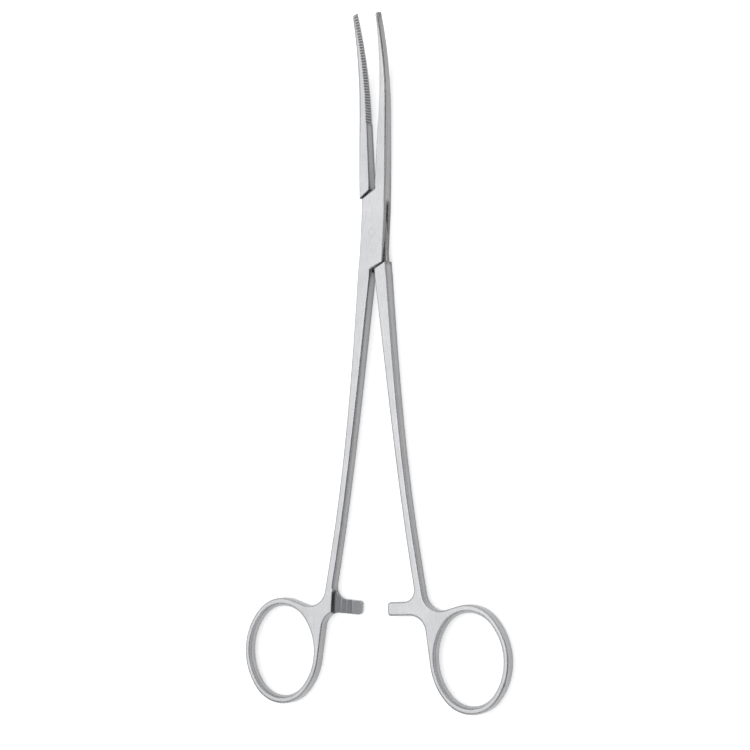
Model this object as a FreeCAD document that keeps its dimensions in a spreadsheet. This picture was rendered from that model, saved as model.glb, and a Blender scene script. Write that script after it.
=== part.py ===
import FreeCAD, Part
import math
import os

# Curved box-lock dissecting forceps: two forged halves and the pin they turn on.
# X runs across the instrument, Y along it towards the jaw tips, Z up from the back.
# The origin is on the pivot axis, at the back face of the lock.
# Both halves are drawn closed, then turned apart by half the rest opening.

SIZES = [
    ("lock_thickness", 5.0, "depth of the lock, from back to front"),
    ("lock_half_width", 4.2, "half the width of the lock"),
    ("back_cheek", 1.6, "thickness of the cheek behind the tongue"),
    ("slot_height", 1.6, "depth of the slot that the tongue turns in"),
    ("tongue_clearance", 0.05, "gap above and below the tongue"),
    ("slot_wall_clearance", 0.15, "gap from the tongue to the slot's end walls"),
    ("slot_inset", 1.9, "slot's end wall behind the cheek's outer corner"),
    ("slot_wall_rise", 4.0, "climb of the slot's end wall to the middle of the lock"),
    ("cheek_jaw_reach", 11.1, "cheek's outer corner on the jaw side"),
    ("cheek_jaw_rise", 3.25, "climb of the cheek's edge to the jaws' crotch"),
    ("cheek_shank_reach", 9.7, "cheek's outer corner on the shank side"),
    ("cheek_shank_rise", 2.4, "fall of the cheek's edge to the shanks' crotch"),
    ("shoulder_gap", 0.2, "gap between a cheek's edge and the facing shoulder"),
    ("lock_chamfer", 0.2, "broken edges of the lock"),
    ("lock_waist_reach", 7.0, "straight part of the lock's sides, from the pivot"),
    ("jaw_base_land", 0.85, "length from the cheeks' crotch to where the jaws begin"),
    ("shank_crotch_step", 0.5, "how far the shanks' crotch lies below the cheek's edge"),
    ("shank_base_land", 2.4, "length from the cheeks' edge to where the shanks begin"),
    ("pin_radius", 1.3, "radius of the pivot pin"),
    ("pin_seat_clearance", 0.01, "pin to cheek, each side"),
    ("pin_running_clearance", 0.04, "pin to tongue, each side"),
    ("pin_chamfer", 0.03, "broken edge of the pin's ground ends"),
    ("half_opening", 3.05, "degrees each half is turned from closed at rest"),
    ("jaw_reach", 72.75, "jaw tip, along its centreline from the pivot"),
    ("jaw_bend_start", 40.0, "where the jaws start to curve forwards"),
    ("jaw_bend_radius", 90.0, "radius of the jaws' curve"),
    ("jaw_base_gap", 0.3, "half gap between the closed jaws at the lock"),
    ("jaw_tip_gap", 0.025, "half gap between the closed jaws at the tips"),
    ("jaw_tip_round", 1.3, "length of the tip's rounded outer corner"),
    ("jaw_tip_flat", 0.15, "flat left at the tip, as a share of its width"),
    ("jaw_tip_sweep", 1.12, "where the outer corner's curve ends, as a share of the width"),
    ("jaw_tip_belly", 0.8, "where the outer corner's curve bulges, as a share of the width"),
    ("jaw_tip_crown", 0.3, "how far back it bulges, as a share of its length"),
    ("jaw_tip_nose", 0.9, "rounding of the tip's back and front corners"),
    ("jaw_base_width", 3.9, "jaw's width at the lock"),
    ("jaw_width_pull", 3.5, "what the jaw's width is drawn towards on its way"),
    ("jaw_tip_width", 1.05, "jaw's width at the tip"),
    ("jaw_depth_pull", 4.0, "what the jaw's depth is drawn towards on its way"),
    ("jaw_tip_depth", 2.9, "jaw's depth at the tip"),
    ("jaw_round_pull", 1.95, "what the rounding of its outer edges is drawn towards"),
    ("jaw_tip_rounding", 0.7, "rounding at the tip"),
    ("serration_start", 36.3, "first serration, along the centreline"),
    ("serration_pitch", 0.92, "spacing of the serrations"),
    ("serration_width", 0.76, "width of each groove"),
    ("serration_depth", 0.34, "depth of each groove"),
    ("serration_tip_land", 0.7, "plain length left at the tip"),
    ("yoke_reach", 110.0, "where the shanks meet the finger-ring yokes"),
    ("shank_base_offset", 2.4, "shank's middle from the axis at the lock"),
    ("shank_spread", 4.3, "how far the shank leans out on its way"),
    ("shank_bow", 2.55, "how much further it bows out at the yoke"),
    ("shank_base_width", 4.3, "shank's width at the lock"),
    ("shank_width_pull", 2.5, "what the shank's width is drawn towards on its way"),
    ("yoke_width", 2.95, "shank's width at the yoke"),
    ("shank_depth_pull", 4.35, "what the shank's depth is drawn towards on its way"),
    ("ring_depth", 4.1, "depth of the yokes and finger rings"),
    ("shank_base_round", 0.25, "rounding of the shank's edges at the lock"),
    ("shank_round_pull", 1.1, "what the rounding is drawn towards on its way"),
    ("edge_round", 0.75, "rounding of the yoke's and ring's outer edges"),
    ("ring_bulge", 1.0, "how far the ring's inner side bulges into the opening"),
    ("ring_inner_reach", 15.55, "finger opening's inner side from the axis"),
    ("ring_top_drop", 15.75, "finger opening's upper end beyond the start of the yoke"),
    ("ring_opening_width", 23.5, "finger opening, across"),
    ("ring_opening_length", 29.9, "finger opening, along"),
    ("ring_end_share", 0.85, "radius of a ring's ends, as a share of its half width"),
    ("ring_side_band", 2.45, "width of the ring's band at its sides"),
    ("ring_end_band", 2.75, "width of the ring's band at its ends"),
    ("crotch_round", 6.2, "radius of the crotch between a shank and its ring"),
    ("crotch_slope", 14.8, "degrees that the crotch falls from the ring's end"),
    ("yoke_slope", 5.2, "degrees that the yoke's inner side leans from the ring"),
    ("yoke_round", 5.4, "radius under a ratchet bar"),
    ("ratchet_drop", 13.95, "middle of the ratchet bars beyond the start of the yoke"),
    ("ratchet_height", 4.7, "height of the ratchet bars"),
    ("ratchet_root", 9.0, "where a bar takes its full depth, from the axis"),
    ("ratchet_flare", 3.9, "radius where a bar's top edge meets the shank"),
    ("ratchet_corner", 1.2, "radius of a bar's end corners"),
    ("box_ratchet_tip", 1.3, "how far the rear bar passes the axis"),
    ("tongue_ratchet_tip", 1.25, "how far the front bar passes the axis"),
    ("ratchet_gap", 0.1, "gap between the crests of the two bars"),
    ("tooth_pitch", 2.2, "spacing of the ratchet teeth"),
    ("tooth_height", 0.7, "height of the ratchet teeth"),
    ("tooth_drop", 0.15, "length of a tooth's steep side"),
    ("tooth_crest", 0.18, "length of a tooth's flat crest"),
    ("tooth_rows", 3.0, "teeth on each bar behind its plain lead"),
    ("tooth_lead", 3.4, "plain lead at the end of a bar"),
    ("tooth_lead_drop", 0.3, "how much the lead falls towards its end"),
]

doc = FreeCAD.newDocument("dissecting_forceps")
sheet = doc.addObject("Spreadsheet::Sheet", "Sizes")
for row, (alias, value, note) in enumerate(SIZES, start=1):
    sheet.set("A%d" % row, alias)
    sheet.set("B%d" % row, str(value))
    sheet.set("C%d" % row, note)
    sheet.setAlias("B%d" % row, alias)
doc.recompute()

FRONT_SIDE = 1
BACK_SIDE = -1
RIGHT = 1
LEFT = -1
# how far a jaw's blank runs past its flat face and past its tip before both are cut
JAW_BLANK_OVERLAP = 0.8
JAW_TIP_OVERLAP = 0.4
# how many times the size of what it cuts a cutter runs past it
OVERSHOOT = 3
# in how many lengths the lofts run along a shank, a jaw's straight root and its bend
SHANK_STEPS = 8
JAW_ROOT_STEPS = 3
JAW_BEND_STEPS = 6
# in how many steps the finger openings' wall is rounded
WALL_STEPS = 5
# an edge or face that strays less than this from a plane lies in it
LEVEL = 1e-6


def size(alias):
    """The value of one cell of the sheet."""
    return float(sheet.get(alias))


def point(x, y, z=0.0):
    return FreeCAD.Vector(x, y, z)


def mid_height():
    return size("lock_thickness") / 2


def jaw_base():
    """Where the lock ends and the jaws begin, from the pivot."""
    return size("cheek_jaw_reach") + size("cheek_jaw_rise") + size("jaw_base_land")


def shank_base():
    """Where the lock ends and the shanks begin, from the pivot."""
    return size("cheek_shank_reach") + size("cheek_shank_rise") + size("shank_base_land")


def feature(name, shape):
    """A document object that holds a shape worked out from the sheet."""
    obj = doc.addObject("Part::Feature", name)
    obj.Shape = shape
    return obj


def slab(points, low=0.0, high=None):
    """A prism of a plan polygon between two heights, by default the lock's own."""
    high = size("lock_thickness") if high is None else high
    corners = [point(x, y, low) for x, y in points]
    face = Part.Face(Part.makePolygon(corners + corners[:1]))
    return face.extrude(point(0, 0, high - low))


def mirrored(shape, side):
    """The shape as drawn for the right side, or its mirror image for the left."""
    if side == RIGHT:
        return shape
    return shape.mirror(point(0, 0, 0), point(1, 0, 0))


def joined(parts):
    whole = parts[0].multiFuse(parts[1:])
    return whole.removeSplitter()


def drawn(share, start, pull, end):
    """A value part of the way from start to end, drawn towards a third on its way."""
    return (1 - share) ** 2 * start + 2 * share * (1 - share) * pull + share ** 2 * end


# Shanks

def shank_offset(share):
    """The shank's middle from the axis, part of the way from the lock to the yoke."""
    return size("shank_base_offset") + size("shank_spread") * share + size("shank_bow") * share ** 3


def shank_section(share):
    """A rounded rectangle across the shank, part of the way from the lock to the yoke."""
    base = shank_base()
    y = -base - share * (size("yoke_reach") - base)
    width = drawn(share, size("shank_base_width"), size("shank_width_pull"), size("yoke_width"))
    depth = drawn(share, size("lock_thickness"), size("shank_depth_pull"), size("ring_depth"))
    radius = drawn(share, size("shank_base_round"), size("shank_round_pull"), size("edge_round"))
    left, right = shank_offset(share) - width / 2, shank_offset(share) + width / 2
    low, high = mid_height() - depth / 2, mid_height() + depth / 2
    lean = radius * (1 - math.sqrt(0.5))
    ends = [
        (point(left + radius, y, low), point(right - radius, y, low)),
        (point(right, y, low + radius), point(right, y, high - radius)),
        (point(right - radius, y, high), point(left + radius, y, high)),
        (point(left, y, high - radius), point(left, y, low + radius)),
    ]
    middles = [
        point(right - lean, y, low + lean),
        point(right - lean, y, high - lean),
        point(left + lean, y, high - lean),
        point(left + lean, y, low + lean),
    ]
    edges = []
    for turn, (start, end) in enumerate(ends):
        following = ends[(turn + 1) % len(ends)][0]
        edges.append(Part.LineSegment(start, end).toShape())
        edges.append(Part.Arc(end, middles[turn], following).toShape())
    return Part.Wire(edges)


def shank(yoke_plate):
    """The slim arm from the lock to the yoke, a ruled loft that thins and bows as it goes.

    Its last section is the yoke's own end, so the two meet face to face.
    """
    meeting_y = -size("yoke_reach")
    yoke_end = [face for face in yoke_plate.Faces
                if abs(face.BoundBox.YMin - meeting_y) < LEVEL and face.BoundBox.YLength < LEVEL]
    sections = [shank_section(step / SHANK_STEPS) for step in range(SHANK_STEPS)]
    return Part.makeLoft(sections + [yoke_end[0].OuterWire], True, True)


# Yokes, finger rings and ratchet bars

def ring_centre():
    across = size("ring_inner_reach") + size("ring_opening_width") / 2
    drop = size("ring_top_drop") + size("ring_opening_length") / 2
    return point(across, -size("yoke_reach") - drop)


def bar_middle():
    """Where the middle of both ratchet bars lies along Y."""
    return -size("yoke_reach") - size("ratchet_drop")


def ring_oval(side_grow, end_grow):
    """The finger opening's oval, or a larger one round it, as four tangent arcs.

    Each arc is its centre, radius, and first and last angle, anticlockwise.
    """
    half_width = size("ring_opening_width") / 2 + side_grow
    half_length = size("ring_opening_length") / 2 + end_grow
    end_radius = size("ring_end_share") * half_width
    rise, slack = half_length - end_radius, half_width - end_radius
    inset = (rise ** 2 - slack ** 2) / (2 * slack)
    side_radius = half_width + inset
    turn = math.atan2(rise, inset)
    middle, half_turn = ring_centre(), math.pi
    return {
        "inner": (middle + point(inset, 0), side_radius, half_turn - turn, half_turn + turn),
        "bottom": (middle - point(0, rise), end_radius, half_turn + turn, 2 * half_turn - turn),
        "outer": (middle - point(inset, 0), side_radius, -turn, turn),
        "top": (middle + point(0, rise), end_radius, turn, half_turn - turn),
    }


def arc_edge(centre, radius, first, last):
    circle = Part.Circle(centre, point(0, 0, 1), radius)
    return Part.ArcOfCircle(circle, first, last).toShape()


def arc_point(centre, radius, angle):
    return centre + point(radius * math.cos(angle), radius * math.sin(angle))


def meeting(first, first_way, second, second_way):
    """Where two lines in plan cross, each given by a point and a direction."""
    cross = first_way.x * second_way.y - first_way.y * second_way.x
    gap = second - first
    return first + first_way * ((gap.x * second_way.y - gap.y * second_way.x) / cross)


def rounded_run(corners):
    """Edges through a run of corners, each a point and the radius that rounds it."""
    edges = []
    here = corners[0][0]
    for (before, _), (corner, radius), (after, _) in zip(corners, corners[1:], corners[2:]):
        back, onward = (before - corner).normalize(), (after - corner).normalize()
        half_angle = back.getAngle(onward) / 2
        start = corner + back * (radius / math.tan(half_angle))
        end = corner + onward * (radius / math.tan(half_angle))
        depth = radius / math.sin(half_angle) - radius
        middle = corner + (back + onward).normalize() * depth
        edges.append(Part.LineSegment(here, start).toShape())
        edges.append(Part.Arc(start, middle, end).toShape())
        here = end
    edges.append(Part.LineSegment(here, corners[-1][0]).toShape())
    return edges


def shank_direction():
    """Which way the shank runs where it reaches the yoke."""
    fall = size("yoke_reach") - shank_base()
    spread = size("shank_spread") + 3 * size("shank_bow")
    return point(spread, -fall).normalize()


def yoke_outline(tip_pass):
    """The yoke, ratchet bar and ring in plan, one closed wire of lines and arcs."""
    half_bar = point(0, size("ratchet_height") / 2)
    bar_end = point(-tip_pass, bar_middle())
    along_bar, shank_way = point(1, 0), shank_direction()
    shank_end = point(shank_offset(1), -size("yoke_reach"))
    half_shank = point(size("yoke_width") / 2, 0)

    ring = ring_oval(size("ring_side_band"), size("ring_end_band"))
    top_angle = math.pi / 2 + math.radians(size("crotch_slope"))
    top_leave = arc_point(*ring["top"][:2], top_angle)
    top_way = point(-math.sin(top_angle), math.cos(top_angle))
    inner_angle = math.pi + math.radians(size("yoke_slope"))
    inner_leave = arc_point(*ring["inner"][:2], inner_angle)
    inner_way = point(math.sin(inner_angle), -math.cos(inner_angle))

    crotch = meeting(top_leave, top_way, shank_end + half_shank, shank_way)
    flare = meeting(shank_end - half_shank, shank_way, bar_end + half_bar, along_bar)
    under = meeting(bar_end - half_bar, along_bar, inner_leave, inner_way)
    outer_run = rounded_run([
        (top_leave, 0),
        (crotch, size("crotch_round")),
        (shank_end + half_shank, 0),
    ])
    bar_run = rounded_run([
        (shank_end - half_shank, 0),
        (flare, size("ratchet_flare")),
        (bar_end + half_bar, size("ratchet_corner")),
        (bar_end - half_bar, size("ratchet_corner")),
        (under, size("yoke_round")),
        (inner_leave, 0),
    ])
    meeting_line = Part.LineSegment(shank_end + half_shank, shank_end - half_shank).toShape()
    ring_run = [
        arc_edge(*ring["inner"][:2], inner_angle, ring["inner"][3]),
        arc_edge(*ring["bottom"]),
        arc_edge(*ring["outer"]),
        arc_edge(*ring["top"][:3], top_angle),
    ]
    return Part.Wire(Part.__sortEdges__(outer_run + [meeting_line] + bar_run + ring_run))


def rim_edges(shape, skip_y=None):
    """The edges that lie wholly on the flat back or front of a plate."""
    box = shape.BoundBox
    chosen = []
    for edge in shape.Edges:
        span = edge.BoundBox
        flat = span.ZLength < LEVEL
        at_rim = abs(span.ZMin - box.ZMin) < LEVEL or abs(span.ZMin - box.ZMax) < LEVEL
        on_join = skip_y is not None and any(
            abs(span.YMin - y) < LEVEL and abs(span.YMax - y) < LEVEL for y in skip_y)
        if flat and at_rim and not on_join:
            chosen.append(edge)
    return chosen


def teeth_cutter(tip_pass, open_side):
    """What is cut from a bar's inner face to leave its teeth.

    The teeth climb slowly from the bar's end and drop steeply towards its root,
    so that the two bars hook over each other.
    """
    tip, high, pitch = -tip_pass, size("lock_thickness"), size("tooth_pitch")
    lead_end = tip + size("tooth_lead")
    beyond = tip - size("ratchet_corner")
    profile = [(beyond, high), (beyond, -size("tooth_lead_drop")), (lead_end, 0)]
    for row in range(int(round(size("tooth_rows")))):
        start = lead_end + row * pitch
        profile.append((start + size("tooth_drop"), -size("tooth_height")))
        profile.append((start + pitch - size("tooth_crest"), 0))
        profile.append((start + pitch, 0))
    profile.append((size("ratchet_root"), 0))
    profile.append((size("ratchet_root"), high))
    breadth = 2 * size("ratchet_height")
    corners = [point(x, bar_middle() + breadth / 2, z) for x, z in profile]
    face = Part.Face(Part.makePolygon(corners + corners[:1]))
    cutter = face.extrude(point(0, -breadth, 0))
    if open_side == BACK_SIDE:
        cutter = cutter.mirror(point(0, 0, 0), point(0, 0, 1))
    cutter.translate(point(0, 0, mid_height() - open_side * size("ratchet_gap") / 2))
    return cutter


def waist_line(radius):
    """The finger opening's wall in section, bulging in to its radius at mid-depth."""
    half_depth, bulge = size("ring_depth") / 2, size("ring_bulge")
    curve = (half_depth ** 2 + bulge ** 2) / (2 * bulge)
    half_angle = math.asin(half_depth / curve)
    angles = [half_angle * (2 * step / WALL_STEPS - 1) for step in range(WALL_STEPS + 1)]
    return [point(radius + curve * (1 - math.cos(a)), 0, curve * math.sin(a)) for a in angles]


def finger_opening():
    """What is cut for the finger opening: its core, and the waisted wall round it."""
    depth, inset = size("ring_depth"), size("ring_bulge")
    core, cutters = [], []
    for centre, radius, first, last in ring_oval(0, 0).values():
        core.append(arc_edge(centre, radius - inset, first, last))
        near, far = radius - 2 * inset, radius + inset
        corners = waist_line(radius) + [point(far, 0, depth), point(near, 0, depth),
                                        point(near, 0, -depth), point(far, 0, -depth)]
        face = Part.Face(Part.makePolygon(corners + corners[:1]))
        wall = face.revolve(point(0, 0, 0), point(0, 0, 1), math.degrees(last - first))
        wall.rotate(point(0, 0, 0), point(0, 0, 1), math.degrees(first))
        wall.translate(centre + point(0, 0, mid_height()))
        cutters.append(wall)
    plug = Part.Face(Part.Wire(Part.__sortEdges__(core))).extrude(point(0, 0, 2 * depth))
    plug.translate(point(0, 0, mid_height() - depth))
    return cutters + [plug]


def yoke_and_ring(tip_pass, open_side):
    """The yoke, finger ring and half-depth ratchet bar as one filleted plate."""
    plate = Part.Face(yoke_outline(tip_pass)).extrude(point(0, 0, size("ring_depth")))
    plate.translate(point(0, 0, mid_height() - size("ring_depth") / 2))
    plate = plate.makeFillet(size("edge_round"), rim_edges(plate, [-size("yoke_reach")]))
    return plate.cut(finger_opening()).cut(teeth_cutter(tip_pass, open_side))


# Jaws

def jaw_place(reach):
    """The point on the jaw's centreline at that length, and its slope."""
    start, radius = size("jaw_bend_start"), size("jaw_bend_radius")
    if reach <= start:
        return point(0, reach, mid_height()), 0.0
    slope = (reach - start) / radius
    y = start + radius * math.sin(slope)
    z = mid_height() + radius * (1 - math.cos(slope))
    return point(0, y, z), slope


def mating_x(y):
    """Half the gap between the closed jaws' faces, at that distance along Y."""
    tip = jaw_place(size("jaw_reach"))[0].y
    base = jaw_base()
    share = (y - base) / (tip - base)
    return size("jaw_base_gap") + share * (size("jaw_tip_gap") - size("jaw_base_gap"))


def jaw_section(reach):
    """A D-shaped section across the jaw, flat inside and rounded outside."""
    base = jaw_base()
    share = (reach - base) / (size("jaw_reach") - base)
    width = drawn(share, size("jaw_base_width"), size("jaw_width_pull"), size("jaw_tip_width"))
    depth = drawn(share, size("lock_thickness"), size("jaw_depth_pull"), size("jaw_tip_depth"))
    radius = drawn(share, size("lock_chamfer"), size("jaw_round_pull"), size("jaw_tip_rounding"))
    centre, slope = jaw_place(reach)
    normal = point(0, -math.sin(slope), math.cos(slope))
    inner, half = -JAW_BLANK_OVERLAP, depth / 2
    lean = radius * (1 - math.sqrt(0.5))

    def place(x, rise):
        return centre + point(x, 0, 0) + normal * rise

    edges = [
        Part.LineSegment(place(inner, -half), place(inner, half)).toShape(),
        Part.LineSegment(place(inner, half), place(width - radius, half)).toShape(),
        Part.Arc(place(width - radius, half), place(width - lean, half - lean),
                 place(width, half - radius)).toShape(),
        Part.LineSegment(place(width, half - radius), place(width, radius - half)).toShape(),
        Part.Arc(place(width, radius - half), place(width - lean, lean - half),
                 place(width - radius, -half)).toShape(),
        Part.LineSegment(place(width - radius, -half), place(inner, -half)).toShape(),
    ]
    return Part.Wire(edges)


def on_tip(face, way):
    """A cutter swept from a flat face, set on the jaw's tip square to its curve."""
    centre, slope = jaw_place(size("jaw_reach"))
    block = face.extrude(way)
    block.translate(way / -2)
    block.rotate(point(0, 0, 0), point(1, 0, 0), math.degrees(slope))
    block.translate(centre)
    return block


def tip_trim():
    """What is cut away to round the outer corner of the tip."""
    width, length = size("jaw_tip_width"), size("jaw_tip_round")
    start = point(size("jaw_tip_gap") + size("jaw_tip_flat") * width, 0)
    middle = point(size("jaw_tip_belly") * width, -size("jaw_tip_crown") * length)
    end = point(size("jaw_tip_sweep") * width, -length)
    outside, beyond = OVERSHOOT * width, OVERSHOOT * length
    corners = [end, point(outside, -length), point(outside, beyond), point(-outside, beyond),
               point(-outside, 0), start]
    edges = [Part.Arc(start, middle, end).toShape()]
    for first, second in zip(corners, corners[1:]):
        edges.append(Part.LineSegment(first, second).toShape())
    face = Part.Face(Part.Wire(Part.__sortEdges__(edges)))
    return on_tip(face, point(0, 0, 2 * OVERSHOOT * size("jaw_tip_depth")))


def nose_trim():
    """What is cut away to round the back and front corners of the tip."""
    half, nose = size("jaw_tip_depth") / 2, size("jaw_tip_nose")
    lean = nose * (1 - math.sqrt(0.5))
    beyond, outside = OVERSHOOT * nose, OVERSHOOT * half
    edges = []
    corners = [point(0, -nose, half), point(0, -nose, outside), point(0, beyond, outside),
               point(0, beyond, -outside), point(0, -nose, -outside), point(0, -nose, -half)]
    for first, second in zip(corners, corners[1:]):
        edges.append(Part.LineSegment(first, second).toShape())
    back_end, front_end = point(0, 0, nose - half), point(0, 0, half - nose)
    edges.append(Part.Arc(corners[-1], point(0, -lean, lean - half), back_end).toShape())
    edges.append(Part.LineSegment(back_end, front_end).toShape())
    edges.append(Part.Arc(front_end, point(0, -lean, half - lean), corners[0]).toShape())
    face = Part.Face(Part.Wire(edges))
    return on_tip(face, point(2 * OVERSHOOT * size("jaw_base_width"), 0, 0))


def groove(reach):
    """One V-groove across the jaw's face, square to the jaw's curve."""
    centre, slope = jaw_place(reach)
    face_x = mating_x(centre.y)
    depth, width = size("serration_depth"), size("serration_width")
    root, mouth_x = point(face_x + depth, 0), face_x - depth
    corners = [root, point(mouth_x, width), point(mouth_x, -width)]
    face = Part.Face(Part.makePolygon(corners + corners[:1]))
    bar = face.extrude(point(0, 0, 2 * size("lock_thickness")))
    bar.translate(point(0, 0, -size("lock_thickness")))
    bar.rotate(point(0, 0, 0), point(1, 0, 0), math.degrees(slope))
    bar.translate(centre)
    return bar


def serrations(stagger):
    """All the grooves of one jaw. The other jaw's are half a pitch along."""
    pitch = size("serration_pitch")
    start = size("serration_start") + stagger * pitch
    length = size("jaw_reach") - size("serration_tip_land") - start
    count = int(length / pitch)
    return Part.makeCompound([groove(start + i * pitch) for i in range(count + 1)])


def jaw(side, stagger):
    """A jaw that tapers and curves forwards, with a flat serrated face."""
    base, bend = jaw_base(), size("jaw_bend_start")
    far = size("jaw_reach") + JAW_TIP_OVERLAP
    reaches = [base + (bend - base) * step / JAW_ROOT_STEPS for step in range(JAW_ROOT_STEPS)]
    reaches += [bend + (far - bend) * step / JAW_BEND_STEPS for step in range(JAW_BEND_STEPS + 1)]
    blank = Part.makeLoft([jaw_section(reach) for reach in reaches], True, True)
    outside = OVERSHOOT * size("jaw_base_width")
    keep = [(mating_x(base), base), (mating_x(far), far), (outside, far), (outside, base)]
    half_space = slab(keep, -OVERSHOOT * size("lock_thickness"), blank.BoundBox.ZMax + outside)
    solid = blank.common(half_space).cut(tip_trim()).cut(nose_trim()).cut(serrations(stagger))
    return mirrored(solid, side)


# Lock

def cheek_edge_height(x, side_reach, rise, edge_gap=0.0):
    """Height along Y of a cheek's slanting edge at x, measured for the jaw side."""
    half = size("lock_half_width")
    slope = rise / (half + mating_x(jaw_base()))
    lift = edge_gap * math.hypot(1, slope)
    return side_reach + slope * (x + half) + lift


def slot_wall_height(x, gap=0.0):
    """Height along Y of the slot's slanting end wall at x on the jaw side."""
    half, gate = size("lock_half_width"), mating_x(jaw_base())
    slope = size("slot_wall_rise") / (half - gate)
    side_reach = size("cheek_jaw_reach") - size("slot_inset")
    return side_reach + slope * (half - x) - gap * math.hypot(1, slope)


def broken_edges(block, join_heights):
    """The block with its back and front edges chamfered, but for where it is joined."""
    return block.makeChamfer(size("lock_chamfer"), rim_edges(block, join_heights))


def box_block():
    """The two cheeks and what closes them, before the slot is cut."""
    half, waist = size("lock_half_width"), size("lock_waist_reach")
    jaw_y, shank_y = jaw_base(), -shank_base()
    gate = mating_x(jaw_y)
    shank_inner = size("shank_base_offset") - size("shank_base_width") / 2
    shank_outer = size("shank_base_offset") + size("shank_base_width") / 2
    crotch_y = cheek_edge_height(gate, size("cheek_jaw_reach"), size("cheek_jaw_rise"))
    lower_y = -cheek_edge_height(-shank_inner, size("cheek_shank_reach"),
                                 size("cheek_shank_rise"))
    outline = [
        (gate, jaw_y),
        (size("jaw_base_width"), jaw_y),
        (half, waist),
        (half, -size("cheek_shank_reach")),
        (shank_inner, lower_y),
        (-shank_inner, lower_y - size("shank_crotch_step")),
        (-shank_inner, shank_y),
        (-shank_outer, shank_y),
        (-half, -waist),
        (-half, size("cheek_jaw_reach")),
        (gate, crotch_y),
    ]
    return broken_edges(slab(outline), [jaw_y, shank_y])


def slot():
    """The opening for the tongue, through both sides of the lock."""
    far = OVERSHOOT * size("lock_half_width")
    gate = mating_x(jaw_base())
    top = slot_wall_height(gate) + far
    upper = [(far, slot_wall_height(far)), (gate, slot_wall_height(gate)), (gate, top),
             (-far, top)]
    lower = [(-x, -y) for x, y in upper]
    low = size("back_cheek")
    return slab(upper + lower, low, low + size("slot_height"))


def tongue_plate():
    """The thin tongue that passes through the slot, flush with the lock's sides."""
    half, waist = size("lock_half_width"), size("lock_waist_reach")
    jaw_y, shank_y = jaw_base(), -shank_base()
    gate = mating_x(jaw_y)
    wall_gap = size("slot_wall_clearance")
    shank_inner = size("shank_base_offset") - size("shank_base_width") / 2
    shank_outer = size("shank_base_offset") + size("shank_base_width") / 2
    outline = [
        (-gate, jaw_y),
        (-gate, slot_wall_height(-gate, wall_gap)),
        (half, slot_wall_height(half, wall_gap)),
        (half, -waist),
        (shank_outer, shank_y),
        (shank_inner, shank_y),
        (shank_inner, -slot_wall_height(-shank_inner, wall_gap)),
        (-half, -slot_wall_height(half, wall_gap)),
        (-half, waist),
        (-size("jaw_base_width"), jaw_y),
    ]
    low = size("back_cheek") + size("tongue_clearance")
    high = size("back_cheek") + size("slot_height") - size("tongue_clearance")
    return slab(outline, low, high)


def side_x(y):
    """Where the lock's side lies between its straight part and the jaw."""
    half, waist, jaw_y = size("lock_half_width"), size("lock_waist_reach"), jaw_base()
    share = (y - waist) / (jaw_y - waist)
    return half + share * (size("jaw_base_width") - half)


def jaw_shoulder():
    """The full-depth root of the jaw that faces the cheek's slanting edge."""
    jaw_y = jaw_base()
    gate, gap = mating_x(jaw_y), size("shoulder_gap")
    reach, rise = size("cheek_jaw_reach"), size("cheek_jaw_rise")
    outer_y = cheek_edge_height(-side_x(reach), reach, rise, gap)
    outline = [(-gate, jaw_y), (-gate, cheek_edge_height(-gate, reach, rise, gap)),
               (-side_x(outer_y), outer_y), (-size("jaw_base_width"), jaw_y)]
    return broken_edges(slab(outline), [jaw_y])


def shank_shoulder():
    """The full-depth root of the shank that faces the cheek's lower edge."""
    half, waist, shank_y = size("lock_half_width"), size("lock_waist_reach"), -shank_base()
    gap = size("shoulder_gap")
    reach, rise = size("cheek_shank_reach"), size("cheek_shank_rise")
    inner = size("shank_base_offset") - size("shank_base_width") / 2
    outer = size("shank_base_offset") + size("shank_base_width") / 2
    outer_y = -cheek_edge_height(-half, reach, rise, gap)
    spread = half + (outer - half) * (waist + outer_y) / (waist + shank_y)
    outline = [(inner, shank_y), (inner, -cheek_edge_height(-inner, reach, rise, gap)),
               (spread, outer_y), (outer, shank_y)]
    return broken_edges(slab(outline), [shank_y])


def bore(name, clearance_alias):
    """The round hole for the pin, as a cylinder bound to the sheet."""
    hole = doc.addObject("Part::Cylinder", name)
    hole.setExpression("Radius", "Sizes.pin_radius + Sizes.%s" % clearance_alias)
    hole.setExpression("Height", "%d * Sizes.lock_thickness" % OVERSHOOT)
    hole.setExpression("Placement.Base.z", "-Sizes.lock_thickness")
    return hole


# The three pieces

def box_member():
    """Right jaw, box, left shank, left ring and rear ratchet bar, forged in one."""
    handle = yoke_and_ring(size("box_ratchet_tip"), FRONT_SIDE)
    blank = feature("box_member_blank", joined([
        box_block(),
        jaw(RIGHT, 0.0),
        mirrored(shank(handle), LEFT),
        mirrored(handle, LEFT),
    ]))
    slotted = doc.addObject("Part::Cut", "box_member_slotted")
    slotted.Base = blank
    slotted.Tool = feature("tongue_slot", slot())
    piece = doc.addObject("Part::Cut", "box_member")
    piece.Base = slotted
    piece.Tool = bore("cheek_bore", "pin_seat_clearance")
    return piece


def tongue_member():
    """Left jaw, tongue, right shank, right ring and front ratchet bar, forged in one."""
    handle = yoke_and_ring(size("tongue_ratchet_tip"), BACK_SIDE)
    blank = feature("tongue_member_blank", joined([
        jaw_shoulder(),
        tongue_plate(),
        shank_shoulder(),
        jaw(LEFT, 0.5),
        shank(handle),
        handle,
    ]))
    piece = doc.addObject("Part::Cut", "tongue_member")
    piece.Base = blank
    piece.Tool = bore("tongue_bore", "pin_running_clearance")
    return piece


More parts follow.
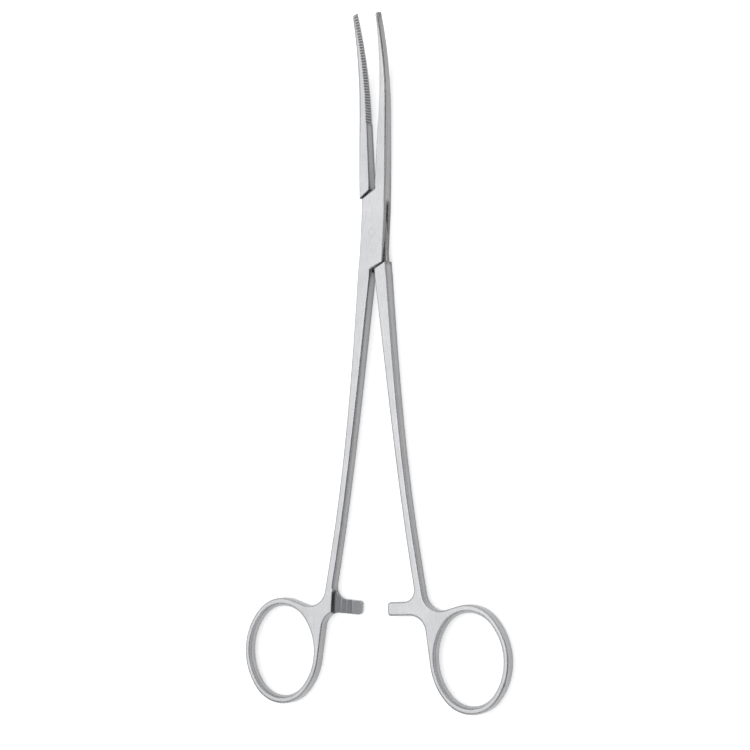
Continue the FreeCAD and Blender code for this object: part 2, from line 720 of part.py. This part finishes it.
def pivot_pin():
    """The plain pin, ground flush with both cheeks."""
    rod = doc.addObject("Part::Cylinder", "pin_rod")
    rod.setExpression("Radius", "Sizes.pin_radius")
    rod.setExpression("Height", "Sizes.lock_thickness")
    doc.recompute()
    piece = doc.addObject("Part::Chamfer", "pivot_pin")
    piece.Base = rod
    rims = [i + 1 for i, edge in enumerate(rod.Shape.Edges) if edge.BoundBox.ZLength < LEVEL]
    piece.Edges = [(i, size("pin_chamfer"), size("pin_chamfer")) for i in rims]
    return piece


pieces = [box_member(), tongue_member(), pivot_pin()]
for piece in pieces:
    piece.Label = piece.Name
doc.recompute()
turns = {"box_member": -size("half_opening"), "tongue_member": size("half_opening"), "pivot_pin": 0.0}
for piece in pieces:
    turn = FreeCAD.Rotation(point(0, 0, 1), turns[piece.Label])
    piece.Placement = FreeCAD.Placement(point(0, 0, 0), turn)
doc.recompute()

for obj in doc.Objects:
    if "Invalid" in obj.State or "Error" in obj.State:
        raise RuntimeError("%s did not build: %s" % (obj.Name, obj.State))
for piece in pieces:
    if piece.Shape.isNull() or not piece.Shape.isValid():
        raise RuntimeError("%s has no valid shape" % piece.Label)
    if len(piece.Shape.Solids) != 1:
        raise RuntimeError("%s has %d solids" % (piece.Label, len(piece.Shape.Solids)))

os.makedirs("parts", exist_ok=True)
for piece in pieces:
    piece.Shape.exportStep("parts/%s.step" % piece.Label)
    print(piece.Label, "volume", round(piece.Shape.Volume, 1), "mm3")
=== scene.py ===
import bmesh
import bpy
import math
from mathutils import Matrix, Vector


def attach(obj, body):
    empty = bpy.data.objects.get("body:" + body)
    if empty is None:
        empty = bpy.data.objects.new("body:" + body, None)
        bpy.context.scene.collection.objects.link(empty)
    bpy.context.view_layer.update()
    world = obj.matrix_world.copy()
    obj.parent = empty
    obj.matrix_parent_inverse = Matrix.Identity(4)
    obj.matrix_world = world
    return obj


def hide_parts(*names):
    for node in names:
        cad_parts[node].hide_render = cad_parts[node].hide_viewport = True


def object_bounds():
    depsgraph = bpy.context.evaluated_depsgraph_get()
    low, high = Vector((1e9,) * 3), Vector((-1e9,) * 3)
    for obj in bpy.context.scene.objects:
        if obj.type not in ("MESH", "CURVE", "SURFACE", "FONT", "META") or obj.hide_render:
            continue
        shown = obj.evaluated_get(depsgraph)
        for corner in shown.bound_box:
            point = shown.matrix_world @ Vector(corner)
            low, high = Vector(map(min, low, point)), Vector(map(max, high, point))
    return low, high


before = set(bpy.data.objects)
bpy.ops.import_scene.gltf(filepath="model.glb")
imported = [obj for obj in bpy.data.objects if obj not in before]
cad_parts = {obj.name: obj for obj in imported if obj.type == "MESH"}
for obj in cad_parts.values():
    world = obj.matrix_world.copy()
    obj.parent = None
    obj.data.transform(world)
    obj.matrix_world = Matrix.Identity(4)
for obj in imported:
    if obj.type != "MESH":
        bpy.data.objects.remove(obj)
cadLow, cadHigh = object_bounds()
print("frame loaded:", ", ".join(sorted(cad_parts)))

mm = 0.001

# Steel finishes: satin for all ground faces, milled for the cut teeth, and the ground pin.
# Scales are per metre, depths and reaches in metres.
satinSteel = {
    "colour": (0.44, 0.443, 0.454, 1.0),
    # the colour along worn edges, which is wear and a painted highlight
    "wornHighlightColour": (0.52, 0.523, 0.532, 1.0),
    "sideShadeTone": 0.82,  # painted shade, of the colour, where a surface stands upright
    "sideEdgeShadeTone": 0.08,  # painted shade, of the colour, along the edges of such a surface
    "creviceShadeTone": 0.36,  # painted shade, of the colour, deep in a corner
    "creviceShadeReach": 1.1 * mm,
    "roughness": 0.25,
    "edgeRoughness": 0.17,
    "edgeRound": 0.42 * mm,  # radius that the edges seem rounded with
    "wideRound": 0.6 * mm,  # the same on the finger rings and the tongue
    "wornHighlightReach": 0.2 * mm,  # how far from an edge a flat face is worn and has a painted highlight
    "sideWearAndLightReach": 2.4 * mm,  # and how far an upright one has wear and painted shade
    "grainScale": 3400.0,
    "grainStretch": 0.07,  # along the instrument, so that the grain runs lengthwise
    "grainDepth": 0.006 * mm,
    "grainAmount": 0.1,
    "cloudScale": 110.0,
    "cloudAmount": 0.1,
}
cutSteel = {
    "colour": (0.25, 0.255, 0.265, 1.0),
    # the colour along worn edges of the teeth, which is wear and a painted highlight
    "wornHighlightColour": (0.85, 0.85, 0.85, 1.0),
    "sideShadeTone": 1.0,
    "sideEdgeShadeTone": 1.0,
    # painted shade deep in the grooves, of the colour
    "creviceShadeTone": 0.08,
    "creviceShadeReach": 0.4 * mm,
    "roughness": 0.48,
    "edgeRoughness": 0.3,
    "edgeRound": 0.05 * mm,
    "wideRound": 0.05 * mm,
    "wornHighlightReach": 0.3 * mm,
    "sideWearAndLightReach": 0.26 * mm,
    "grainScale": 3000.0,
    "grainStretch": 1.0,
    "grainDepth": 0.008 * mm,
    "grainAmount": 0.2,
    "cloudScale": 260.0,
    "cloudAmount": 0.12,
}
groundPin = dict(satinSteel, grainStretch=1.0)
# Where edges are rounded, and where they are worn and have a painted highlight or shade.
# wearAndLightFrom and wearAndLightFull are cosines of the angle between the rounded and the true
# normal.
edges = {
    "wearAndLightFrom": 0.99,
    "wearAndLightFull": 0.89,
    "pinBare": 1.75 * mm,  # from the pivot's axis: no rounding up to here
    "pinClear": 2.2 * mm,  # and full rounding from here
    "ringFrom": -120 * mm,  # along the instrument: where the finger rings begin
    "ringFull": -127 * mm,
    "lockReach": 11 * mm,  # half the length of the lock
    "tongueTop": 3.3 * mm,  # height of the tongue's front face
    "roundSamples": 6,
    "wearAndLightSamples": 4,
}
# Painted shade: corners are darker. From this openness up a place has its full tone.
cornerShade = {"openFrom": 0.8, "samples": 8}
# A surface is upright or flat by how much of its normal points up.
upright = {"below": 0.2, "flatAbove": 0.9}
# The grain's noise: its make, the span of its values that counts, and what it does to roughness.
noise = {
    "low": 0.3,
    "high": 0.7,
    "grainDetail": 4.0,
    "grainRoughness": 0.65,
    "cloudDetail": 3.0,
    "smoother": 0.05,
    "rougher": 0.06,
}


# Shader helpers

def addNode(tree, kind, x, y, **settings):
    node = tree.nodes.new(kind)
    node.location = (x, y)
    for name, value in settings.items():
        setattr(node, name, value)
    return node


def addSocket(group, name, direction, kind="NodeSocketFloat"):
    group.interface.new_socket(name=name, in_out=direction, socket_type=kind)


# A node that maps its value from one span to another, 0 to 1 where none is given.
def addSpan(tree, x, y, given=(0.0, 1.0), made=(0.0, 1.0), **settings):
    node = addNode(tree, "ShaderNodeMapRange", x, y, **settings)
    node.inputs["From Min"].default_value, node.inputs["From Max"].default_value = given
    node.inputs["To Min"].default_value, node.inputs["To Max"].default_value = made
    return node


# Rounded edges: a normal that turns over an edge, and a mask of how near a point is to one,
# which places wear and painted highlight or shade. Round the ground pin there is neither. On the
# finger rings and the tongue the rounding is wider, and the rings get no wear and no painted edge
# light.
def makeEdgeGroup():
    group = bpy.data.node_groups.new("Rounded edges", "ShaderNodeTree")
    for name in ("Round", "Wide Round", "Worn Highlight Reach", "Side Wear And Light Reach"):
        addSocket(group, name, "INPUT")
    addSocket(group, "Mask", "OUTPUT")
    addSocket(group, "Normal", "OUTPUT", kind="NodeSocketVector")
    links = group.links
    given = addNode(group, "NodeGroupInput", -1300, 200)
    place = addNode(group, "ShaderNodeTexCoord", -1300, -60)

    inPlan = addNode(group, "ShaderNodeVectorMath", -1100, -160, operation="MULTIPLY")
    inPlan.inputs[1].default_value = (1, 1, 0)
    fromPin = addNode(group, "ShaderNodeVectorMath", -940, -160, operation="LENGTH")
    clear = addSpan(group, -780, -160, (edges["pinBare"], edges["pinClear"]))
    links.new(place.outputs["Object"], inPlan.inputs[0])
    links.new(inPlan.outputs["Vector"], fromPin.inputs[0])
    links.new(fromPin.outputs["Value"], clear.inputs["Value"])

    along = addNode(group, "ShaderNodeSeparateXYZ", -1300, 60)
    ringShare = addSpan(group, -1100, 400, (edges["ringFrom"], edges["ringFull"]))
    fromPivot = addNode(group, "ShaderNodeMath", -1100, 220, operation="ABSOLUTE")
    inLock = addNode(group, "ShaderNodeMath", -940, 220, operation="LESS_THAN")
    inLock.inputs[1].default_value = edges["lockReach"]
    isLow = addNode(group, "ShaderNodeMath", -1100, 60, operation="LESS_THAN")
    isLow.inputs[1].default_value = edges["tongueTop"]
    onTongue = addNode(group, "ShaderNodeMath", -940, 60, operation="MULTIPLY")
    widely = addNode(group, "ShaderNodeMath", -860, 400, operation="MAXIMUM")
    width = addNode(group, "ShaderNodeMix", -780, 200, data_type="FLOAT")
    links.new(place.outputs["Object"], along.inputs["Vector"])
    links.new(along.outputs["Y"], ringShare.inputs["Value"])
    links.new(along.outputs["Y"], fromPivot.inputs[0])
    links.new(fromPivot.outputs["Value"], inLock.inputs[0])
    links.new(along.outputs["Z"], isLow.inputs[0])
    links.new(inLock.outputs["Value"], onTongue.inputs[0])
    links.new(isLow.outputs["Value"], onTongue.inputs[1])
    links.new(ringShare.outputs["Result"], widely.inputs[0])
    links.new(onTongue.outputs["Value"], widely.inputs[1])
    links.new(widely.outputs["Value"], width.inputs["Factor"])
    links.new(given.outputs["Round"], width.inputs["A"])
    links.new(given.outputs["Wide Round"], width.inputs["B"])

    turned = addNode(group, "ShaderNodeMath", -600, 200, operation="MULTIPLY")
    facing = addNode(group, "ShaderNodeSeparateXYZ", -1100, -400)
    flat = addNode(group, "ShaderNodeMath", -940, -400, operation="ABSOLUTE")
    reach = addSpan(group, -780, -400, (upright["below"], upright["flatAbove"]))
    links.new(given.outputs["Side Wear And Light Reach"], reach.inputs["To Min"])
    links.new(given.outputs["Worn Highlight Reach"], reach.inputs["To Max"])
    links.new(place.outputs["Normal"], facing.inputs["Vector"])
    links.new(facing.outputs["Z"], flat.inputs[0])
    links.new(flat.outputs["Value"], reach.inputs["Value"])
    edgeWearAndLight = addNode(group, "ShaderNodeMath", -600, -160, operation="MULTIPLY")
    links.new(reach.outputs["Result"], edgeWearAndLight.inputs[1])
    links.new(width.outputs["Result"], turned.inputs[0])
    links.new(clear.outputs["Result"], turned.inputs[1])
    offRing = addNode(group, "ShaderNodeMath", -940, -600, operation="SUBTRACT")
    offRing.inputs[0].default_value = 1.0
    wearAndLightShare = addNode(group, "ShaderNodeMath", -780, -640, operation="MULTIPLY")
    links.new(ringShare.outputs["Result"], offRing.inputs[1])
    links.new(clear.outputs["Result"], wearAndLightShare.inputs[0])
    links.new(offRing.outputs["Value"], wearAndLightShare.inputs[1])
    links.new(wearAndLightShare.outputs["Value"], edgeWearAndLight.inputs[0])
    over = addNode(group, "ShaderNodeBevel", -420, 200, samples=edges["roundSamples"])
    near = addNode(group, "ShaderNodeBevel", -420, -60, samples=edges["wearAndLightSamples"])
    surface = addNode(group, "ShaderNodeNewGeometry", -420, -220)
    links.new(turned.outputs["Value"], over.inputs["Radius"])
    links.new(edgeWearAndLight.outputs["Value"], near.inputs["Radius"])

    likeness = addNode(group, "ShaderNodeVectorMath", -240, -100, operation="DOT_PRODUCT")
    ramp = addSpan(group, -60, -100, (edges["wearAndLightFrom"], edges["wearAndLightFull"]))
    out = addNode(group, "NodeGroupOutput", 140, 60)
    links.new(near.outputs["Normal"], likeness.inputs[0])
    links.new(surface.outputs["Normal"], likeness.inputs[1])
    links.new(likeness.outputs["Value"], ramp.inputs["Value"])
    links.new(ramp.outputs["Result"], out.inputs["Mask"])
    links.new(over.outputs["Normal"], out.inputs["Normal"])
    return group


# Fine lengthwise grain, and slow clouds of duller and brighter metal.
def makeGrainGroup():
    group = bpy.data.node_groups.new("Steel grain", "ShaderNodeTree")
    for name in ("Scale", "Stretch", "Cloud Scale"):
        addSocket(group, name, "INPUT")
    addSocket(group, "Grain", "OUTPUT")
    addSocket(group, "Cloud", "OUTPUT")
    links = group.links
    given = addNode(group, "NodeGroupInput", -900, 0)
    place = addNode(group, "ShaderNodeTexCoord", -900, 260)
    stretch = addNode(group, "ShaderNodeCombineXYZ", -700, 80)
    stretch.inputs["X"].default_value = 1.0
    stretch.inputs["Z"].default_value = 1.0
    drawn = addNode(group, "ShaderNodeVectorMath", -520, 160, operation="MULTIPLY")
    fine = addNode(group, "ShaderNodeTexNoise", -320, 240)
    fine.inputs["Detail"].default_value = noise["grainDetail"]
    fine.inputs["Roughness"].default_value = noise["grainRoughness"]
    cloud = addNode(group, "ShaderNodeTexNoise", -320, -20)
    cloud.inputs["Detail"].default_value = noise["cloudDetail"]
    out = addNode(group, "NodeGroupOutput", 60, 100)
    links.new(given.outputs["Stretch"], stretch.inputs["Y"])
    links.new(place.outputs["Object"], drawn.inputs[0])
    links.new(stretch.outputs["Vector"], drawn.inputs[1])
    links.new(drawn.outputs["Vector"], fine.inputs["Vector"])
    links.new(given.outputs["Scale"], fine.inputs["Scale"])
    links.new(place.outputs["Object"], cloud.inputs["Vector"])
    links.new(given.outputs["Cloud Scale"], cloud.inputs["Scale"])
    links.new(fine.outputs["Fac"], out.inputs["Grain"])
    links.new(cloud.outputs["Fac"], out.inputs["Cloud"])
    return group


edgeGroup = makeEdgeGroup()
grainGroup = makeGrainGroup()


# A steel: mottled by the grain, with wear and a painted highlight along edges, painted shade on
# upright faces, darkest along their edges, and painted shade in corners.
def makeSteel(name, finish):
    material = bpy.data.materials.new(name)
    material.use_nodes = True
    tree, links = material.node_tree, material.node_tree.links
    shader = tree.nodes["Principled BSDF"]
    shader.inputs["Metallic"].default_value = 1.0
    edgeWearAndLight = addNode(tree, "ShaderNodeGroup", -900, 260, node_tree=edgeGroup)
    edgeWearAndLight.inputs["Round"].default_value = finish["edgeRound"]
    edgeWearAndLight.inputs["Wide Round"].default_value = finish["wideRound"]
    edgeWearAndLight.inputs["Worn Highlight Reach"].default_value = finish["wornHighlightReach"]
    edgeWearAndLight.inputs["Side Wear And Light Reach"].default_value = finish["sideWearAndLightReach"]
    grain = addNode(tree, "ShaderNodeGroup", -900, -60, node_tree=grainGroup)
    grain.inputs["Scale"].default_value = finish["grainScale"]
    grain.inputs["Stretch"].default_value = finish["grainStretch"]
    grain.inputs["Cloud Scale"].default_value = finish["cloudScale"]

    counted = (noise["low"], noise["high"])
    tone = addSpan(tree, -680, 120, counted, (1 - finish["cloudAmount"], 1.0))
    streak = addSpan(tree, -680, 380, counted, (1 - finish["grainAmount"], 1 + finish["grainAmount"]))
    mottled = addNode(tree, "ShaderNodeMath", -560, 280, operation="MULTIPLY")
    links.new(grain.outputs["Grain"], streak.inputs["Value"])
    links.new(streak.outputs["Result"], mottled.inputs[0])
    links.new(tone.outputs["Result"], mottled.inputs[1])
    shaded = addNode(tree, "ShaderNodeVectorMath", -420, 120, operation="SCALE")
    shaded.inputs[0].default_value = finish["colour"][:3]
    # Wear and painted highlight: near an edge the brighter colour is mixed in.
    colour = addNode(tree, "ShaderNodeMix", -260, 200, data_type="RGBA")
    colour.inputs["B"].default_value = finish["wornHighlightColour"]
    links.new(grain.outputs["Cloud"], tone.inputs["Value"])
    links.new(mottled.outputs["Value"], shaded.inputs["Scale"])
    wearAndPaintedLight = addNode(tree, "ShaderNodeMath", -420, 320, operation="MULTIPLY")
    links.new(edgeWearAndLight.outputs["Mask"], wearAndPaintedLight.inputs[0])
    links.new(wearAndPaintedLight.outputs["Value"], colour.inputs["Factor"])
    links.new(shaded.outputs["Vector"], colour.inputs["A"])
    # Painted shade in corners: the less open a place, the darker its colour.
    openness = addNode(tree, "ShaderNodeAmbientOcclusion", -260, 460, samples=cornerShade["samples"])
    openness.inputs["Distance"].default_value = finish["creviceShadeReach"]
    light = addSpan(tree, -80, 460, (0.0, cornerShade["openFrom"]), (finish["creviceShadeTone"], 1.0))
    dimmed = addNode(tree, "ShaderNodeVectorMath", -80, 200, operation="SCALE")
    # Painted shade on upright faces, and darker still along their edges.
    facing = addNode(tree, "ShaderNodeTexCoord", -680, 640)
    upward = addNode(tree, "ShaderNodeSeparateXYZ", -500, 640)
    flat = addNode(tree, "ShaderNodeMath", -340, 640, operation="ABSOLUTE")
    side = addSpan(tree, -180, 640, (upright["below"], upright["flatAbove"]))
    sideShadeLevel = addNode(tree, "ShaderNodeMix", -340, 820, data_type="FLOAT")
    sideShadeLevel.inputs["A"].default_value = finish["sideShadeTone"]
    sideShadeLevel.inputs["B"].default_value = finish["sideEdgeShadeTone"]
    links.new(wearAndPaintedLight.outputs["Value"], sideShadeLevel.inputs["Factor"])
    links.new(sideShadeLevel.outputs["Result"], side.inputs["To Min"])
    toned = addNode(tree, "ShaderNodeMath", 60, 560, operation="MULTIPLY")
    links.new(facing.outputs["Normal"], upward.inputs["Vector"])
    links.new(upward.outputs["Z"], flat.inputs[0])
    links.new(flat.outputs["Value"], side.inputs["Value"])
    links.new(side.outputs["Result"], toned.inputs[0])
    links.new(light.outputs["Result"], toned.inputs[1])
    links.new(openness.outputs["AO"], light.inputs["Value"])
    links.new(openness.outputs["AO"], wearAndPaintedLight.inputs[1])
    links.new(toned.outputs["Value"], dimmed.inputs["Scale"])
    links.new(colour.outputs["Result"], dimmed.inputs[0])
    links.new(dimmed.outputs["Vector"], shader.inputs["Base Color"])

    smoothest = finish["roughness"] - noise["smoother"]
    roughest = finish["roughness"] + noise["rougher"]
    spread = addSpan(tree, -680, -160, counted, (smoothest, roughest))
    rough = addNode(tree, "ShaderNodeMix", -260, -60, data_type="FLOAT")
    rough.inputs["B"].default_value = finish["edgeRoughness"]
    links.new(grain.outputs["Grain"], spread.inputs["Value"])
    links.new(wearAndPaintedLight.outputs["Value"], rough.inputs["Factor"])
    links.new(spread.outputs["Result"], rough.inputs["A"])
    links.new(rough.outputs["Result"], shader.inputs["Roughness"])

    bump = addNode(tree, "ShaderNodeBump", -260, -260)
    bump.inputs["Distance"].default_value = finish["grainDepth"]
    bump.inputs["Strength"].default_value = 1.0
    links.new(edgeWearAndLight.outputs["Normal"], bump.inputs["Normal"])
    links.new(grain.outputs["Grain"], bump.inputs["Height"])
    links.new(bump.outputs["Normal"], shader.inputs["Normal"])
    return material


satin = makeSteel("satin steel", satinSteel)
milled = makeSteel("milled steel", cutSteel)
ground = makeSteel("ground pin", groundPin)
print("steel finishes made")


# The two halves and the pin, with their facets welded and their true edges kept sharp.
smoothing = {
    "weld": 0.0005 * mm,
    "sharpAngle": math.radians(27),
}
# Where the cut teeth are: the serrated stretch of the jaws, and the ratchet bars.
cutting = {
    "jawFrom": 35 * mm,
    "jawFacing": 0.3,  # how squarely a jaw's face looks at the other jaw, at least
    "barFrom": -127 * mm,
    "barTo": -119.5 * mm,
    "barHalf": 16 * mm,  # reach of the bars to each side
    "toothHeight": 2.5 * mm,  # middle height of the teeth, and how far they lie from it
    "toothBand": 0.8 * mm,
    "toothFacing": 0.1,  # how much of a tooth's face looks up or down, at least
}


def isCut(face):
    centre, normal = face.calc_center_median(), face.normal
    alongJaw = centre.y > cutting["jawFrom"] and centre.x * normal.x < 0
    onJaw = alongJaw and abs(normal.x) > cutting["jawFacing"]
    alongBar = cutting["barFrom"] < centre.y < cutting["barTo"]
    onBar = alongBar and abs(centre.x) < cutting["barHalf"]
    onTeeth = abs(centre.z - cutting["toothHeight"]) < cutting["toothBand"]
    return onJaw or (onBar and onTeeth and abs(normal.z) > cutting["toothFacing"])


# With two finishes, the second is for the cut faces.
def finishPiece(node, name, body, materials):
    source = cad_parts[node]
    shape = bmesh.new()
    shape.from_mesh(source.data)
    bmesh.ops.remove_doubles(shape, verts=shape.verts, dist=smoothing["weld"])
    for each in shape.faces:
        each.smooth = True
        each.material_index = 1 if len(materials) > 1 and isCut(each) else 0
    for side in shape.edges:
        side.smooth = side.calc_face_angle(0.0) < smoothing["sharpAngle"]
    mesh = bpy.data.meshes.new(name)
    shape.to_mesh(mesh)
    shape.free()
    for material in materials:
        mesh.materials.append(material)
    piece = bpy.data.objects.new(name, mesh)
    bpy.context.scene.collection.objects.link(piece)
    weighted = piece.modifiers.new("even shading", "WEIGHTED_NORMAL")
    weighted.keep_sharp = True
    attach(piece, body)
    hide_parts(node)


finishPiece("box_member", "box_half_ground", "box_half", [satin, milled])
finishPiece("tongue_member", "tongue_half_ground", "tongue_half", [satin, milled])
finishPiece("pivot_pin", "pivot_pin_ground", "box_half", [ground])
print("pieces finished")


# Floor: a white sheet that takes the shadow. To the eye and in the steel it also glows, less
# near the instrument than far from it, which paints shade round the instrument.
floorPlan = {
    "halfSize": 8.0,
    "below": 0.02 * mm,
    "colour": (0.86, 0.86, 0.86, 1.0),
    "glowNear": 0.53,
    "glowFar": 1.0,
    "nearTo": 0.35,
    "farFrom": 1.3,
}


def makeFloor():
    shape = bmesh.new()
    bmesh.ops.create_grid(shape, x_segments=1, y_segments=1, size=floorPlan["halfSize"])
    mesh = bpy.data.meshes.new("floor")
    shape.to_mesh(mesh)
    shape.free()
    floor = bpy.data.objects.new("floor", mesh)
    bpy.context.scene.collection.objects.link(floor)
    floor.location.z = cadLow.z - floorPlan["below"]
    material = bpy.data.materials.new("white floor")
    material.use_nodes = True
    tree, links = material.node_tree, material.node_tree.links
    shader = tree.nodes["Principled BSDF"]
    shader.inputs["Base Color"].default_value = floorPlan["colour"]
    shader.inputs["Roughness"].default_value = 1.0
    shader.inputs["Specular IOR Level"].default_value = 0.0
    glow = addNode(tree, "ShaderNodeEmission", -100, -200)
    glow.inputs["Color"].default_value = (1, 1, 1, 1)
    path = addNode(tree, "ShaderNodeLightPath", -700, -200)
    seen = addNode(tree, "ShaderNodeMath", -480, -160, operation="ADD")
    seenThrough = addNode(tree, "ShaderNodeMath", -320, -160, operation="ADD", use_clamp=True)
    place = addNode(tree, "ShaderNodeTexCoord", -900, -460)
    away = addNode(tree, "ShaderNodeVectorMath", -700, -460, operation="LENGTH")
    # weaker glow near the instrument: painted shade round it
    glowing = addSpan(tree, -480, -460, (floorPlan["nearTo"], floorPlan["farFrom"]),
                      (floorPlan["glowNear"], floorPlan["glowFar"]), interpolation_type="SMOOTHSTEP")
    strength = addNode(tree, "ShaderNodeMath", -200, -320, operation="MULTIPLY")
    both = addNode(tree, "ShaderNodeAddShader", 200, 0)
    links.new(path.outputs["Is Camera Ray"], seen.inputs[0])
    links.new(path.outputs["Is Glossy Ray"], seen.inputs[1])
    links.new(seen.outputs["Value"], seenThrough.inputs[0])
    links.new(path.outputs["Is Transmission Ray"], seenThrough.inputs[1])
    links.new(seenThrough.outputs["Value"], strength.inputs[0])
    links.new(place.outputs["Object"], away.inputs[0])
    links.new(away.outputs["Value"], glowing.inputs["Value"])
    links.new(glowing.outputs["Result"], strength.inputs[1])
    links.new(strength.outputs["Value"], glow.inputs["Strength"])
    links.new(shader.outputs["BSDF"], both.inputs[0])
    links.new(glow.outputs["Emission"], both.inputs[1])
    links.new(both.outputs["Shader"], tree.nodes["Material Output"].inputs["Surface"])
    mesh.materials.append(material)


makeFloor()


# Lights: a wide box overhead to the left, and a narrow strip to the right for the rounded edges.
lampAim = (0, -0.04, 0)
lights = {
    "over": {"from": (-0.47, 0.1, 1.16), "wide": 1.3, "tall": 1.7, "watts": 9.8},
    "strip": {"from": (0.3, 0.0, 1.27), "wide": 0.08, "tall": 1.7, "watts": 0.85},
}


def makeLight(name, plan):
    lamp = bpy.data.lights.new(name, "AREA")
    lamp.shape = "RECTANGLE"
    lamp.size, lamp.size_y = plan["wide"], plan["tall"]
    lamp.energy = plan["watts"]
    light = bpy.data.objects.new(name, lamp)
    light.location = plan["from"]
    aim = Vector(lampAim) - light.location
    light.rotation_euler = aim.to_track_quat("-Z", "Y").to_euler()
    bpy.context.scene.collection.objects.link(light)


for name, plan in lights.items():
    makeLight(name, plan)


# The room: white walls low down and past both ends, and a dim ceiling that leaves the rounded
# edges dark. Each wall fades between two heights or reaches, where 1 is straight up or along.
room = {"white": 1.0, "dim": 0.25, "wallFull": 0.25, "wallGone": 0.5, "endFrom": 0.5, "endFull": 0.8}


def makeRoom():
    world = bpy.data.worlds.new("studio room")
    world.use_nodes = True
    tree, links = world.node_tree, world.node_tree.links
    background = tree.nodes["Background"]
    background.inputs["Color"].default_value = (1, 1, 1, 1)
    way = addNode(tree, "ShaderNodeTexCoord", -900, 0)
    parts = addNode(tree, "ShaderNodeSeparateXYZ", -720, 0)
    wall = addSpan(tree, -360, 140, (room["wallGone"], room["wallFull"]),
                   interpolation_type="SMOOTHSTEP")
    lengthwise = addNode(tree, "ShaderNodeMath", -540, -140, operation="ABSOLUTE")
    end = addSpan(tree, -360, -140, (room["endFrom"], room["endFull"]),
                  interpolation_type="SMOOTHSTEP")
    whiter = addNode(tree, "ShaderNodeMath", -180, 0, operation="MAXIMUM")
    level = addSpan(tree, 0, 0, made=(room["dim"], room["white"]))
    background.location.x = 200
    tree.nodes["World Output"].location.x = 400
    links.new(way.outputs["Generated"], parts.inputs["Vector"])
    links.new(parts.outputs["Z"], wall.inputs["Value"])
    links.new(parts.outputs["Y"], lengthwise.inputs[0])
    links.new(lengthwise.outputs["Value"], end.inputs["Value"])
    links.new(wall.outputs["Result"], whiter.inputs[0])
    links.new(end.outputs["Result"], whiter.inputs[1])
    links.new(whiter.outputs["Value"], level.inputs["Value"])
    links.new(level.outputs["Result"], background.inputs["Strength"])
    bpy.context.scene.world = world


makeRoom()
print("floor and lights made")


# Camera, turned round the instrument's length towards its right side, as in the photograph.
shot = {
    "turn": math.radians(28.0),
    "tilt": math.radians(-1.55),
    "roll": math.radians(-0.042),
    "distance": 0.7515,
    "target": (1.19 * mm, -47.11 * mm, 5.0 * mm),
    "focalPixels": 2287.0,
    "imagePixels": 750,
    "sensor": 36.0,
    "nearest": 0.05,
    "farthest": 20.0,
}


def makeCamera():
    turn, tilt, roll = shot["turn"], shot["tilt"], shot["roll"]
    back = Vector((math.sin(turn) * math.cos(tilt), math.sin(tilt), math.cos(turn) * math.cos(tilt)))
    right = Vector((0, 1, 0)).cross(back).normalized()
    up = back.cross(right)
    rolledRight = right * math.cos(roll) + up * math.sin(roll)
    rolledUp = up * math.cos(roll) - right * math.sin(roll)
    lens = bpy.data.cameras.new("camera")
    lens.sensor_width = shot["sensor"]
    lens.lens = shot["focalPixels"] / shot["imagePixels"] * shot["sensor"]
    lens.clip_start, lens.clip_end = shot["nearest"], shot["farthest"]
    camera = bpy.data.objects.new("camera", lens)
    place = Vector(shot["target"]) + back * shot["distance"]
    axes = Matrix((rolledRight, rolledUp, back)).transposed().to_4x4()
    camera.matrix_world = Matrix.Translation(place) @ axes
    bpy.context.scene.collection.objects.link(camera)
    bpy.context.scene.camera = camera


makeCamera()
bpy.context.scene.view_settings.view_transform = "Standard"
print("camera made")
